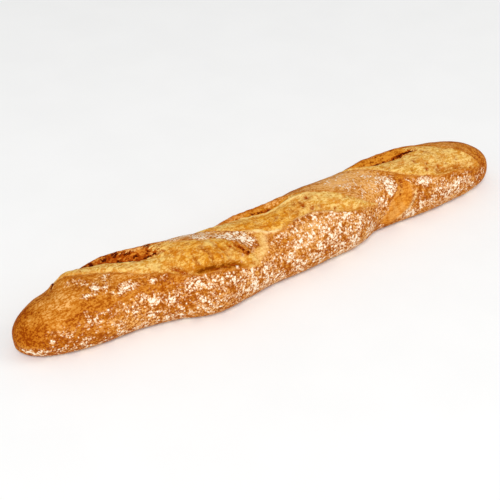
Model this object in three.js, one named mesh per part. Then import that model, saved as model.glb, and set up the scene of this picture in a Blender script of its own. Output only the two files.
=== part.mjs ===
// A baguette: one long hand-shaped loaf with a flat underside, two rounded
// noses and three overlapping scores across its top.  Millimetres, +Z up,
// length along X, the side the scores run out on towards -Y.
import * as THREE from 'three';

// ---- driving dimensions -------------------------------------------------
const LENGTH = 440;               // tip to tip
const NOSE_LEFT = 43;             // length of the rounded end at -X
const NOSE_RIGHT = 46;            // length of the rounded end at +X
const NOSE_POWER = 2.4;           // 2 = ellipse, more = blunter
const TIP_HEIGHT_LEFT = 13.4;     // height of the foremost point of each end
const TIP_HEIGHT_RIGHT = 13.8;
const FOOT = 0.55;                // how far the underside reaches out under the ends
const HEIGHT_TO_WIDTH = 0.72;     // section height over section width
const WIDEST_AT = 0.42;           // height of the widest point, share of the height
const SHOULDER = 0.07;            // fullness of the upper half over an ellipse
const BELLY = 0.16;               // fullness of the lower half
const UNDERCUT = 1.12;            // lower half is this much deeper, cut off by the base
const BASE_EDGE = 1.0;            // rounding of the edge round the flat base

// evenly spaced from the -X tip to the +X tip
const WIDTH = [42.5, 50.7, 57.8, 60.2, 62.2, 68.6, 63.9, 61.4, 62.5, 66.3, 65.5,
  60.6, 60.2, 61.3, 58.7, 53.0, 48.5];
const SWAY = [7.3, 6.0, 4.3, 3.9, -0.5, -9.0, -9.8, -6.5, -6.4, -3.6, -2.7, 2.9,
  3.9, 2.7, 2.9, 2.7, 2.5];      // the hand-shaped centre line, in Y

// The three scores.  Each opens between two lips; the angles are measured
// round the section from its top, + towards -Y, evenly spaced along the score.
// earFrom is the share of the score at which the far lip starts to lift.  furrow
// is where the dip along the near lip starts, is full, ends, is gone, and its depth.
const SCORES = [
  { from: -184, to: -40, ear: 4.2, earFrom: 0.10, deep: 4.0, dome: 1.8,
    furrow: [0.58, 0.68, 0.84, 0.93, 1.0],
    farLip: [-48, -47, -40, -33, -24, -15, -6, 4, 60],
    tear: [-48, -46, -34, -12, 0, 8, 14, 20, 60],
    nearLip: [-48, -20, -3, 19, 30, 46, 47, 53, 60] },
  { from: -68, to: 84, ear: 3.2, earFrom: 0.04, deep: 3.6, dome: 1.8,
    furrow: [0.58, 0.68, 0.84, 0.95, 0.45],
    farLip: [-46, -46, -42, -38, -27, -8, 6, 37, 60],
    tear: [-46, -44, -33, -21, -19, -6, 8, 40, 60],
    nearLip: [-46, -12, 13, 26, 20, 31, 45, 52, 60] },
  { from: 72, to: 200, ear: 3.6, earFrom: 0.05, deep: 3.4, dome: 1.4,
    furrow: [0.52, 0.62, 0.80, 0.90, 0.75],
    farLip: [-46, -40, -34, -31, -27, -19, -6, 16, 62],
    tear: [-46, -30, -15, -13, -8, 0, 10, 24, 62],
    nearLip: [-46, -22, 6, 31, 44, 53, 53, 60, 62] },
];
const SHUT = [0.46, 0.62];        // where along a score the torn face closes onto the far crust
const VALLEY_AT = 0.90;           // place of the furrow across the closed stretch
const EAR_REACH = 7;              // how far back from its edge an ear lifts the crust
const LIP_REACH = 4;              // the same for the low near lip
const LIP_HEIGHT = 0.9;

// a shallow torn ribbon joining the first two scores, a stretched crease between
// the second and third, and the tip of crust standing over the first score's end:
// paths of (x, angle)
const RIBBON = { path: [[-50, 56], [-43, 55], [-36, 50], [-31, 42], [-30, 31], [-29, 20]], outer: 5.2, inner: 2.0, depth: 0.6 };
const CREASE = { path: [[111, 32], [113, 48], [111, 64], [105, 80], [96, 94], [90, 104]], half: 3.2, spread: 2.6, depth: 2.1, fade: 1.1 };
const HOOD = { path: [[-56, 6], [-52, 15], [-50, 24], [-48, 34], [-46, 41]], lift: 1.2, dip: 1.3, from: -70, to: -42 };
const PINCH = { x: 85, half: 10, depth: 2.2 };                    // waist below the crease
const SWELL = { x: -168, angle: -30, half: 11, spread: 26, lift: 3.2 };  // dough lifting at the first score
const NOTCH = { x: -187, angle: -30, half: 6, spread: 24, depth: 1.5 };  // the hollow before it

const ROWS = 118;                 // sections along the loaf
const COLUMNS = 40;               // points round each section
const ARC = 30;                   // section radius used to turn angles into mm

// ---- small helpers ------------------------------------------------------
const RAD = Math.PI / 180;
const clamp = (v, a, b) => Math.min(b, Math.max(a, v));
const smooth = (a, b, v) => { const t = clamp((v - a) / (b - a), 0, 1); return t * t * (3 - 2 * t); };
const bell = (v) => Math.exp(-v * v);

// smooth curve through evenly spaced values
function along(list, t) {
  const n = list.length - 1;
  const s = clamp(t, 0, 1) * n;
  const i = Math.min(Math.floor(s), n - 1);
  const f = s - i;
  const at = (k) => (k < 0 ? 2 * list[0] - list[1] : k > n ? 2 * list[n] - list[n - 1] : list[k]);
  const a = at(i - 1), b = at(i), c = at(i + 1), d = at(i + 2);
  return b + 0.5 * f * (c - a + f * (2 * a - 5 * b + 4 * c - d + f * (3 * (b - c) + d - a)));
}

// share of the full section left at x: 1 in the middle, 0 at the two tips
function noseShare(x) {
  let share = 1;
  for (const [length, side] of [[NOSE_LEFT, -1], [NOSE_RIGHT, 1]]) {
    const d = clamp((side * x - (LENGTH / 2 - length)) / length, 0, 1);
    share *= (1 - d ** NOSE_POWER) ** (1 / NOSE_POWER);
  }
  return share;
}

// the loaf before scoring
function bodyPoint(x, angle) {
  const share = noseShare(x);
  const tip = x < 0 ? TIP_HEIGHT_LEFT : TIP_HEIGHT_RIGHT;
  const t = x / LENGTH + 0.5;
  const width = along(WIDTH, t);
  const height = width * HEIGHT_TO_WIDTH;
  const middle = height * WIDEST_AT;
  const s = Math.sin(angle), c = Math.cos(angle);
  const full = c >= 0 ? SHOULDER : BELLY;
  const rise = c >= 0 ? height - middle : UNDERCUT * middle;
  const y = -(width / 2) * s * (1 + full * c * c);
  let z = rise * c * (1 + full * s * s) + middle;
  z = tip + share ** (1 - FOOT * clamp(-c, 0, 1)) * (z - tip);
  if (z < -BASE_EDGE) z = 0;
  else if (z < BASE_EDGE) z = (z + BASE_EDGE) ** 2 / (4 * BASE_EDGE);
  return new THREE.Vector3(x, along(SWAY, t) + share * y, z);
}

// relief of one score at a point: lift along the normal, slide towards -Y
function scoreRelief(score, x, degrees, arc) {
  const t = (x - score.from) / (score.to - score.from);
  if (t <= 0 || t >= 1) return [0, 0];
  const far = along(score.farLip, t);
  const tear = along(score.tear, t);
  const near = along(score.nearLip, t);
  const mm = Math.max(arc, 1) * RAD;
  const q = (degrees - far) * mm;
  const w = Math.max((near - far) * mm, 1e-3);
  const p = q / w;
  const open = clamp(w / 10, 0, 1);             // dies out at both ends of the score
  const shut = smooth(SHUT[0], SHUT[1], t);
  const closing = smooth(SHUT[0] - 0.06, SHUT[1] - 0.06, t);
  const cut = clamp((tear - far) * mm / w, 0.10, 0.55);
  const ear = score.ear * open * (1 - 0.72 * smooth(SHUT[0] + 0.08, SHUT[1] + 0.14, t))
    * smooth(score.earFrom, score.earFrom + 0.22, t);
  const deep = score.deep * open * (1 - closing) * smooth(score.earFrom - 0.04, score.earFrom + 0.16, t);
  const [start, full, end, gone, share] = score.furrow;
  const dip = 0.55 * score.deep * open * share * smooth(start, full, t) * smooth(gone, end, t);
  const dome = score.dome * open * (1 - 0.3 * shut);
  const lip = LIP_HEIGHT * open * (0.4 + 0.6 * shut);
  let lift;
  if (p < 0) lift = ear * bell(q / EAR_REACH);
  else if (p > 1) lift = lip * bell((q - w) / LIP_REACH);
  else {
    // under the ear: a steep wall into the tear, then the bulge of torn dough
    let a = clamp(p / cut, 0, 1), b = clamp((p - cut) / (1 - cut), 0, 1);
    const opened = p < cut
      ? -deep + (ear * 0.92 + deep) * (1 - a) ** 1.3
      : -deep * (1 - b) ** 7 + dome * (4 * b * (1 - b)) ** 0.6 * (1 - 0.35 * b) - 0.6 * open * b ** 10;
    // where it has closed: a wide face off the far crust, down to the furrow
    a = clamp(p / VALLEY_AT, 0, 1);
    b = clamp((p - VALLEY_AT) / (1 - VALLEY_AT), 0, 1);
    const closed = p < VALLEY_AT
      ? ear * (1 - a) - dip * a ** 4 + 3.6 * dome * a * (1 - a) * (1 - 0.3 * a) - 0.6 * open * bell(a / 0.06)
      : -dip + (lip + dip) * b ** 1.2;
    lift = opened * (1 - shut) + closed * shut;
  }
  const slide = p < cut
    ? (1 - shut) * 0.34 * ear * bell(Math.min(q, 0) / 4.5) * (1 - clamp(2 * p / cut, 0, 1)) : 0;
  return [lift, slide];
}

// distance from a path of [x, angle] points, and how far along it
function fromPath(path, x, degrees) {
  const k = ARC * RAD;
  let best = 1e9, share = 0;
  path.slice(1).forEach((end, i) => {
    const start = path[i];
    const dx = end[0] - start[0], dy = (end[1] - start[1]) * k;
    const f = clamp(((x - start[0]) * dx + (degrees - start[1]) * k * dy) / (dx * dx + dy * dy), 0, 1);
    const r = Math.hypot(x - start[0] - f * dx, (degrees - start[1]) * k - f * dy);
    if (r < best) { best = r; share = (i + f) / (path.length - 1); }
  });
  return [best, share];
}

// the finished surface
function loafPoint(x, angle) {
  const h = LENGTH / 2 - 0.05, e = 0.02, d = 0.002;
  const point = bodyPoint(x, angle);
  const alongX = bodyPoint(clamp(x + e, -h, h), angle).sub(bodyPoint(clamp(x - e, -h, h), angle));
  const round = bodyPoint(x, angle + d).sub(bodyPoint(x, angle - d));
  const normal = new THREE.Vector3().crossVectors(round, alongX).normalize();
  const tangent = round.normalize();
  const degrees = angle / RAD;
  const arc = ARC * noseShare(x);
  let lift = 0, slide = 0;
  for (const score of SCORES) {
    const [l, s] = scoreRelief(score, x, degrees, arc);
    lift += l;
    slide += s;
  }
  const [hd, hs] = fromPath(HOOD.path, x, degrees);
  const first = SCORES[0];
  const overLip = (degrees - along(first.farLip, (x - first.from) / (first.to - first.from))) * ARC * RAD;
  const under = x > HOOD.from && x < HOOD.to ? smooth(-0.6, 0.6, overLip) : 0;
  lift += smooth(0, 0.5, hs) * smooth(1, 0.9, hs)
    * (HOOD.lift * bell(hd / 4) * (1 - under) - HOOD.dip * bell((hd - 1.6) / 2) * under);
  const [rd, rs] = fromPath(RIBBON.path, x, degrees);
  lift -= RIBBON.depth * smooth(RIBBON.outer, RIBBON.inner, rd) * smooth(0, 0.15, rs) * smooth(1, 0.85, rs);
  const [cd, cs] = fromPath(CREASE.path, x, degrees);
  lift -= (CREASE.depth - CREASE.fade * cs) * bell(cd / (CREASE.half + CREASE.spread * cs)) * smooth(0, 0.2, cs);
  lift -= PINCH.depth * bell((x - PINCH.x) / PINCH.half) * smooth(30, 75, degrees) * smooth(150, 110, degrees);
  lift += SWELL.lift * bell((x - SWELL.x) / SWELL.half) * bell((degrees - SWELL.angle) / SWELL.spread);
  lift -= NOTCH.depth * bell((x - NOTCH.x) / NOTCH.half) * bell((degrees - NOTCH.angle) / NOTCH.spread);
  const z = point.z;
  point.addScaledVector(normal, lift).addScaledVector(tangent, slide);
  point.z = z <= 0 ? 0 : Math.max(point.z, 0);
  return point;
}

// sections closer together in the rounded ends
function sectionPlaces() {
  const n = 4000, h = LENGTH / 2;
  const sum = [0], xs = [-h];
  const density = (x) => {
    const l = clamp((x + h) / NOSE_LEFT, 1e-4, 1), r = clamp((h - x) / NOSE_RIGHT, 1e-4, 1);
    return 1 / Math.sqrt(l * (2 - l)) + 1 / Math.sqrt(r * (2 - r)) - 1;
  };
  for (let i = 1; i <= n; i++) {
    const x = -h + LENGTH * i / n;
    sum.push(sum[i - 1] + 0.5 * (density(x) + density(xs[i - 1])));
    xs.push(x);
  }
  return even(sum, xs, ROWS + 1).slice(1, -1);
}

// columns closer together over the top and along the lips and tears
function columnAngles(x) {
  const n = 720, sum = [0], angles = [-180];
  const density = (deg) => {
    let v = 1 + 1.1 * smooth(-80, -45, deg) * smooth(90, 60, deg);
    for (const s of SCORES) {
      const t = (x - s.from) / (s.to - s.from);
      if (t <= 0 || t >= 1) continue;
      const far = along(s.farLip, t), near = along(s.nearLip, t), tear = along(s.tear, t);
      const open = smooth(0, 14, near - far);
      v += open * (3.2 * bell((deg - far) / 6) + 2.2 * bell((deg - tear) / 8) + 1.8 * bell((deg - near) / 6));
    }
    return v;
  };
  for (let i = 1; i <= n; i++) {
    const deg = -180 + 360 * i / n;
    sum.push(sum[i - 1] + 0.5 * (density(deg) + density(angles[i - 1])));
    angles.push(deg);
  }
  return even(sum, angles, COLUMNS).slice(0, -1);
}

// values of ys at equal steps of the running sum
function even(sum, ys, count) {
  const out = [];
  for (let k = 0, i = 0; k <= count; k++) {
    const goal = sum[sum.length - 1] * k / count;
    while (i < sum.length - 2 && sum[i + 1] < goal) i++;
    out.push(ys[i] + (ys[i + 1] - ys[i]) * clamp((goal - sum[i]) / (sum[i + 1] - sum[i]), 0, 1));
  }
  return out;
}

function loafGeometry() {
  const places = sectionPlaces();
  const points = [];
  for (const x of places) {
    for (const degrees of columnAngles(x)) points.push(loafPoint(x, degrees * RAD));
  }
  const tipLeft = points.push(new THREE.Vector3(-LENGTH / 2, along(SWAY, 0), TIP_HEIGHT_LEFT)) - 1;
  const tipRight = points.push(new THREE.Vector3(LENGTH / 2, along(SWAY, 1), TIP_HEIGHT_RIGHT)) - 1;
  const index = [];
  const at = (row, column) => row * COLUMNS + (column % COLUMNS);
  const last = places.length - 1;
  for (let row = 0; row < last; row++) {
    for (let c = 0; c < COLUMNS; c++) {
      const a = at(row, c), b = at(row, c + 1), d = at(row + 1, c), e = at(row + 1, c + 1);
      // split each quad along its shorter diagonal
      if (points[a].distanceToSquared(points[e]) < points[b].distanceToSquared(points[d])) index.push(a, b, e, a, e, d);
      else index.push(a, b, d, b, e, d);
    }
  }
  for (let c = 0; c < COLUMNS; c++) {
    index.push(tipLeft, at(0, c + 1), at(0, c));
    index.push(tipRight, at(last, c), at(last, c + 1));
  }
  // stand it on z = 0 over the middle of its own outline
  const box = new THREE.Box3().setFromPoints(points);
  const shift = new THREE.Vector3(-(box.min.x + box.max.x) / 2, -(box.min.y + box.max.y) / 2, -box.min.z);
  const geometry = new THREE.BufferGeometry();
  geometry.setAttribute('position', new THREE.Float32BufferAttribute(
    points.flatMap((p) => p.clone().add(shift).toArray()), 3));
  geometry.setIndex(index);
  geometry.computeVertexNormals();
  return geometry;
}

const crust = new THREE.MeshStandardMaterial({ name: 'crust', color: 0xc98a48, roughness: 0.85, metalness: 0 });
const loaf = new THREE.Mesh(loafGeometry(), crust);
loaf.name = 'loaf';

const part = new THREE.Group();
part.name = 'baguette';
part.add(loaf);

export default part;
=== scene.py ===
# Looks for the baguette: the scored loaf's fine surface, its crust, torn crumb and flour, on a pale floor.
import math

import bpy
import numpy as np
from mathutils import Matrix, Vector


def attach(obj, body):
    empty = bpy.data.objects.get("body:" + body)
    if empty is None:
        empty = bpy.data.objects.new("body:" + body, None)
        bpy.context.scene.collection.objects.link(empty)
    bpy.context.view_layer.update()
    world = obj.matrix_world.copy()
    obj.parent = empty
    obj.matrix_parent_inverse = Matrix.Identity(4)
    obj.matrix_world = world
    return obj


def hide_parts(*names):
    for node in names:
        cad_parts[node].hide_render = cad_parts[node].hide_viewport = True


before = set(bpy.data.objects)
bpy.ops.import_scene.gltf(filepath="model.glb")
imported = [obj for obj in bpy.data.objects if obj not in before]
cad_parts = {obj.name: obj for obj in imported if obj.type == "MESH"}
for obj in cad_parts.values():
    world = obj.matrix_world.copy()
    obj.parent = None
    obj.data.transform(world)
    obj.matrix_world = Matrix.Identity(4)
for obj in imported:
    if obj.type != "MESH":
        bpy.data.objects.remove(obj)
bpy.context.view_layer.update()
RAD = math.pi / 180
MM = 0.001

# ---------------------------------------------------------------- the loaf's form (mm, as in the CAD)
LENGTH = 440.0
NOSE = ((43.0, -1), (46.0, 1))
NOSE_POWER = 2.4
TIP_HEIGHT = (13.4, 13.8)
FOOT = 0.55
HEIGHT_TO_WIDTH = 0.72
WIDEST_AT = 0.42
SHOULDER = 0.07
BELLY = 0.16
UNDERCUT = 1.12
BASE_EDGE = 1.0
WIDTH = [42.5, 50.7, 57.8, 60.2, 62.2, 68.6, 63.9, 61.4, 62.5, 66.3, 65.5, 60.6, 60.2, 61.3, 58.7, 53.0, 48.5]
SWAY = [7.3, 6.0, 4.3, 3.9, -0.5, -9.0, -9.8, -6.5, -6.4, -3.6, -2.7, 2.9, 3.9, 2.7, 2.9, 2.7, 2.5]
SCORES = [
    dict(start=-184, end=-40, ear=4.2, ear_from=0.10, deep=4.0, dome=1.8, furrow=(0.58, 0.68, 0.84, 0.93, 1.0), scorch=1.0, rim=0.6, skin=(1.2, 0.0), above=1.8, shade=1.0,
         far=[-48, -47, -40, -33, -24, -15, -6, 4, 60],
         tear=[-48, -46, -34, -12, 0, 8, 14, 20, 60],
         near=[-48, -20, -3, 19, 30, 46, 47, 53, 60]),
    dict(start=-68, end=84, ear=3.2, ear_from=0.04, deep=3.6, dome=1.8, furrow=(0.58, 0.68, 0.84, 0.95, 0.45), scorch=0.45, rim=0.3, skin=(2.2, 0.0), above=0.0, shade=0.4,
         far=[-46, -46, -42, -38, -27, -8, 6, 37, 60],
         tear=[-46, -44, -33, -21, -19, -6, 8, 40, 60],
         near=[-46, -12, 13, 26, 20, 31, 45, 52, 60]),
    dict(start=72, end=200, ear=3.6, ear_from=0.05, deep=3.4, dome=1.4, furrow=(0.52, 0.62, 0.80, 0.90, 0.75), scorch=0.6, rim=0.7, skin=(1.0, 3.0), above=0.6, shade=0.6,
         far=[-46, -40, -34, -31, -27, -19, -6, 16, 62],
         tear=[-46, -30, -15, -13, -8, 0, 10, 24, 62],
         near=[-46, -22, 6, 31, 44, 53, 53, 60, 62]),
]
SHUT = (0.46, 0.62)          # where along a score the torn face closes onto the far crust
VALLEY_AT = 0.90
EAR_REACH = 7.0
LIP_REACH = 4.0
LIP_HEIGHT = 0.9
RIBBON = [(-50, 56), (-43, 55), (-36, 50), (-31, 42), (-30, 31), (-29, 20)]
CREASE = [(111, 32), (113, 48), (111, 64), (105, 80), (96, 94), (90, 104)]
CREASE_LOOK = [(112, 28), (113, 44), (111, 58), (106, 72), (101, 86), (94, 102)]
CREASE_HALF = [3.0, 5.5, 8.0, 9.5, 9.5, 7.5]
ARC = 30.0
ROWS = 520
COLUMNS = 188

# finer relief, (x, angle) paths with half width and height in mm: folds of torn dough, lips and seams
RIDGES = [
    ([(-32, -27), (-23, -18), (-17, -12), (-11, -10), (-3, -13), (4, -15), (14, -10), (24, -4), (32, -5)], 1.5, 0.9),
    ([(-38, 4), (-33, 11), (-26, 16), (-23, 23), (-16, 25), (-8, 26), (3, 22)], 1.1, 0.8),
    ([(119, 58), (119, 70), (116, 80), (109, 93), (101, 106)], 1.2, 0.25),
    ([(-93, 20), (-93, 30), (-92, 41)], 2.4, 0.9),
    ([(-83, 22), (-83, 32), (-82, 42)], 2.0, 0.8),
    ([(-73, 24), (-71, 34), (-70, 42)], 1.8, 0.6),
    ([(36, 18), (46, 26), (56, 36)], 2.6, 0.6),
]
GROOVES = [
    ([(-106, 26), (-101, 34), (-98, 42), (-94, 47)], 1.5, 1.4),
    ([(-88, 16), (-88, 28), (-89, 42)], 1.1, 0.9),
    ([(-79, 8), (-77, 20), (-77, 30), (-78, 41)], 1.2, 1.0),
    ([(-70, 2), (-68, 14), (-65, 26), (-64, 40)], 1.0, 0.7),
    ([(-60, 16), (-57, 24), (-55, 30)], 1.3, 1.0),
    ([(17, 0), (17, 6), (18, 13)], 1.3, 1.3),
    ([(6, 2), (9, 12), (8, 19)], 1.1, 0.6),
    ([(146, 36), (152, 42), (160, 45)], 1.2, 0.7),
    ([(-150, -20), (-140, -8), (-128, 4)], 0.9, 0.4),
    ([(150, 0), (156, 14), (158, 28)], 1.3, 0.4),
]
PITS = [  # x, angle, radius, depth
    (24, 3, 1.7, 1.5), (17, 10, 1.4, 1.0), (12, 0, 1.2, 0.8), (22, 20, 1.2, 0.8), (28, 23, 1.0, 0.6), (39, 34, 1.0, 0.6),
    (-8, 6, 1.0, 0.5), (-58, 20, 1.4, 1.1), (-100, 39, 1.6, 1.3), (139, 34, 1.4, 1.0), (150, 41, 1.5, 1.0),
    (169, 49, 1.4, 1.0), (151, 36, 1.2, 0.9), (173, 34, 1.2, 0.9), (184, 58, 1.1, 0.8), (134, 13, 1.0, 0.7),
    (142, 25, 1.0, 0.7), (160, 36, 1.1, 0.8), (-174, -45, 2.2, 1.4),
]
HOOD = [(-56, 6), (-52, 15), (-50, 24), (-48, 34), (-46, 41)]
GASHES = [  # narrow clefts, darkened partly as scorching and partly with painted shade: path, half width, depth in mm, strength
    ([(-185, -27), (-182, -36), (-178, -43), (-171, -46), (-163, -46)], 1.0, 0.5, 1.0),
    ([(-158, -44), (-148, -38), (-139, -27), (-130, -17), (-121, -10), (-112, -5), (-102, 1)], 1.1, 0.5, 0.9),
    ([(-17, -36), (-13, -32), (-8, -28), (-3, -26), (2, -25)], 0.7, 0.5, 0.75),
    ([(-106, 29), (-103, 32), (-100, 37), (-98, 42), (-95, 48)], 1.0, 0.2, 0.45),
    ([(94, -21), (104, -18), (114, -18), (125, -16), (136, -13), (147, -3)], 1.0, 0.5, 1.0),
    ([(-88, 44), (-80, 45), (-72, 46), (-64, 46), (-58, 47)], 0.9, 0.3, 0.5),
    ([(111, 26), (112, 38), (110, 50), (105, 62)], 1.1, 0.3, 0.45),
]
DARK = [  # darker patches down in the tears, partly scorching and partly painted shade: x, angle, half length, half angle
    (-149, -41, 3, 6), (-139, -34, 3, 4), (-131, -31, 3, 5), (-123, -24, 3.5, 4), (-131, -20, 3, 4), (-119, -14, 3, 4),
    (-108, -20, 2.5, 5), (-111, -11, 2, 4), (95, -16, 2, 4), (105, -15, 2, 4), (123, -13, 3, 4), (132, -12, 3, 4),
    (140, -9, 2.2, 4), (-59, 19, 2.0, 5), (-46, 37, 2.4, 5),
]
BARE = [  # torn dough showing beside the first score's end: x, angle, half length, half width in mm
    (-46, 50, 12, 5.5), (-36, 46, 6, 5.0),
]
STAINS = [  # browner streaks and patches on the torn dough: x, angle, half length, half angle, amount
    (-80, 14, 2.2, 8, 0.8), (-76, 24, 2.2, 7, 0.7), (-89, 30, 1.5, 9, 0.6), (-70, 30, 4, 6, 0.6), (-64, 38, 4, 6, 0.6),
    (-96, 8, 5, 6, 0.5), (-88, 12, 8, 4, 0.5), (-62, 26, 5, 7, 0.6), (-104, 30, 6, 5, 0.5), (-97, 40, 4, 5, 0.7),
    (-52, 60, 7, 3, 0.9), (-44, 57, 4, 3, 0.5), (-53, 34, 3, 8, 0.8), (23, 4, 2.2, 3.5, 1.0), (17, 9, 2.0, 4, 1.0),
    (15, -9, 2.0, 3, 0.7), (22, 19, 3, 4, 0.8), (-6, 3, 10, 4, 0.4), (2, 10, 12, 4, 0.5), (-20, 12, 10, 4, 0.5),
    (36, -3, 12, 3, 0.3), (34, 30, 10, 4, 0.3), (148, 34, 6, 6, 0.5), (156, 44, 10, 5, 0.6), (172, 46, 8, 6, 0.6),
    (186, 50, 5, 8, 0.5), (125, 10, 10, 4, 0.35), (168, 12, 6, 5, 0.3), (150, 6, 4, 4, 0.3),
]
CREAMS = [  # pale crisp rims: path, half width, amount
    ([(-32, -27), (-23, -18), (-17, -12), (-11, -10), (-3, -13), (4, -15), (14, -10), (24, -4), (32, -5)], 1.4, 1.15),
    ([(-38, 4), (-33, 11), (-26, 16), (-23, 23), (-16, 25), (-10, 26)], 1.3, 1.2),
    ([(-27, 22), (-28, 31), (-30, 42), (-36, 50), (-43, 55)], 3.2, 0.5),
    ([(-96, -14), (-84, -8), (-78, -5), (-70, -2), (-64, 3), (-57, 7)], 0.9, 0.7),
    ([(122, 60), (120, 70), (117, 80), (113, 91), (107, 100), (100, 107)], 1.3, 1.15),
    ([(0, 20), (8, 21), (17, 26), (27, 32), (36, 38)], 0.9, 0.7),
]


def sstep(a, b, v):
    t = np.clip((v - a) / (b - a), 0, 1)
    return t * t * (3 - 2 * t)


def bell(v):
    return np.exp(-v * v)


def along(values, t):
    v = np.asarray(values, float)
    n = len(v) - 1
    s = np.clip(t, 0, 1) * n
    i = np.minimum(s.astype(int), n - 1)
    f = s - i
    e = np.concatenate([[2 * v[0] - v[1]], v, [2 * v[-1] - v[-2]]])
    a, b, c, d = e[i], e[i + 1], e[i + 2], e[i + 3]
    return b + 0.5 * f * (c - a + f * (2 * a - 5 * b + 4 * c - d + f * (3 * (b - c) + d - a)))


def lattice_noise(p, seed):
    """Smooth gradient noise, about -1 to 1, at points p (..., 3)."""
    rng = np.random.default_rng(seed)
    perm = np.tile(rng.permutation(256), 3)
    grad = rng.normal(size=(256, 3))
    grad /= np.linalg.norm(grad, axis=1, keepdims=True)
    i = np.floor(p).astype(int)
    f = p - i
    i &= 255
    u = f * f * f * (f * (f * 6 - 15) + 10)
    out = np.zeros(p.shape[:-1])
    for dx in (0, 1):
        for dy in (0, 1):
            for dz in (0, 1):
                h = perm[perm[perm[i[..., 0] + dx] + i[..., 1] + dy] + i[..., 2] + dz]
                d = ((f - [dx, dy, dz]) * grad[h]).sum(-1)
                w = ((u[..., 0] if dx else 1 - u[..., 0]) * (u[..., 1] if dy else 1 - u[..., 1])
                     * (u[..., 2] if dz else 1 - u[..., 2]))
                out += w * d
    return out * 1.6


def layered(p, seed, octaves=3, fall=0.5):
    total, size, amp = 0, 0, 1.0
    for k in range(octaves):
        total = total + amp * lattice_noise(p * 2.03 ** k + 17.3 * k, seed + k)
        size += amp
        amp *= fall
    return total / size


def body(x, a):
    share = np.ones_like(x + a)
    for length, side in NOSE:
        d = np.clip((side * x - (LENGTH / 2 - length)) / length, 0, 1)
        share = share * (1 - d ** NOSE_POWER) ** (1 / NOSE_POWER)
    tip = np.where(x < 0, TIP_HEIGHT[0], TIP_HEIGHT[1])
    t = x / LENGTH + 0.5
    width = along(WIDTH, t)
    height = width * HEIGHT_TO_WIDTH
    middle = height * WIDEST_AT
    s, c = np.sin(a), np.cos(a)
    full = np.where(c >= 0, SHOULDER, BELLY)
    y = -(width / 2) * s * (1 + full * c * c)
    z = np.where(c >= 0, height - middle, UNDERCUT * middle) * c * (1 + full * s * s) + middle
    z = tip + share ** (1 - FOOT * np.clip(-c, 0, 1)) * (z - tip)
    z = np.where(z < -BASE_EDGE, 0, np.where(z < BASE_EDGE, (z + BASE_EDGE) ** 2 / (4 * BASE_EDGE), z))
    return np.stack([x + 0 * a, along(SWAY, t) + share * y, z], -1), share


def from_path(path, x, deg):
    k = ARC * RAD
    best, share = np.full(x.shape, 1e9), np.zeros(x.shape)
    for i in range(len(path) - 1):
        ax, ay = path[i][0], path[i][1] * k
        dx, dy = path[i + 1][0] - ax, path[i + 1][1] * k - ay
        f = np.clip(((x - ax) * dx + (deg * k - ay) * dy) / (dx * dx + dy * dy), 0, 1)
        r = np.hypot(x - ax - f * dx, deg * k - ay - f * dy)
        near = r < best
        best = np.where(near, r, best)
        share = np.where(near, (i + f) / (len(path) - 1), share)
    return best, share


def even(total, values, count):
    goal = np.linspace(0, total[-1], count + 1)
    return np.interp(goal, total, values)


def section_places():
    h = LENGTH / 2
    x = np.linspace(-h, h, 20001)
    l = np.clip((x + h) / NOSE[0][0], 1e-4, 1)
    r = np.clip((h - x) / NOSE[1][0], 1e-4, 1)
    d = 1 / np.sqrt(l * (2 - l)) + 1 / np.sqrt(r * (2 - r)) - 1
    total = np.concatenate([[0], np.cumsum((d[1:] + d[:-1]) / 2)])
    return even(total, x, ROWS + 1)[1:-1]


def column_angles(x):
    deg = np.linspace(-180, 180, 721)
    d = 1 + 1.5 * sstep(-80, -45, deg) * sstep(100, 70, deg)
    for s in SCORES:
        t = (x - s["start"]) / (s["end"] - s["start"])
        if 0 < t < 1:
            f, n, v = (float(along(s[k], np.array(t))) for k in ("far", "near", "tear"))
            o = sstep(0, 14, n - f)
            d = d + o * (2.6 * bell((deg - f) / 5) + 2.4 * bell((deg - v) / 7) + 1.6 * bell((deg - n) / 5))
    total = np.concatenate([[0], np.cumsum((d[1:] + d[:-1]) / 2)])
    return even(total, deg, COLUMNS)[:-1]


xs = section_places()
deg = np.stack([column_angles(x) for x in xs])
X = np.repeat(xs[:, None], COLUMNS, 1)
ang = deg * RAD
P0, share = body(X, ang)
h = LENGTH / 2 - 0.05
e = 0.02
dx = body(np.clip(X + e, -h, h), ang)[0] - body(np.clip(X - e, -h, h), ang)[0]
dt = body(X, ang + 0.002)[0] - body(X, ang - 0.002)[0]
N0 = np.cross(dt, dx)
N0 /= np.linalg.norm(N0, axis=-1, keepdims=True) + 1e-12
T0 = dt / (np.linalg.norm(dt, axis=-1, keepdims=True) + 1e-12)

arc = ARC * share
lift = np.zeros_like(X)
slide = np.zeros_like(X)
torn = np.full(X.shape, -99.0)      # mm inside the opening's edge, negative on the crust
wall = np.zeros_like(X)             # the steep torn face under an ear
slot_char_and_shade = np.zeros_like(X)             # darkness down in a tear: partly scorched crumb, partly painted shade
valley = np.zeros_like(X)           # painted shade along the furrow at a near lip
edge = np.zeros_like(X)             # baked edge of a lip
scorch = np.full(X.shape, 0.8)      # how dark the torn face baked
wander = 0.8 * layered(P0 / 9.0, 11, 2) + 0.45 * layered(P0 / 3.0, 13, 2)
teeth = 0.9 * layered(P0 / 3.2, 15, 2)
ragged = layered(P0 / 5.0, 17, 3)

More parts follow.
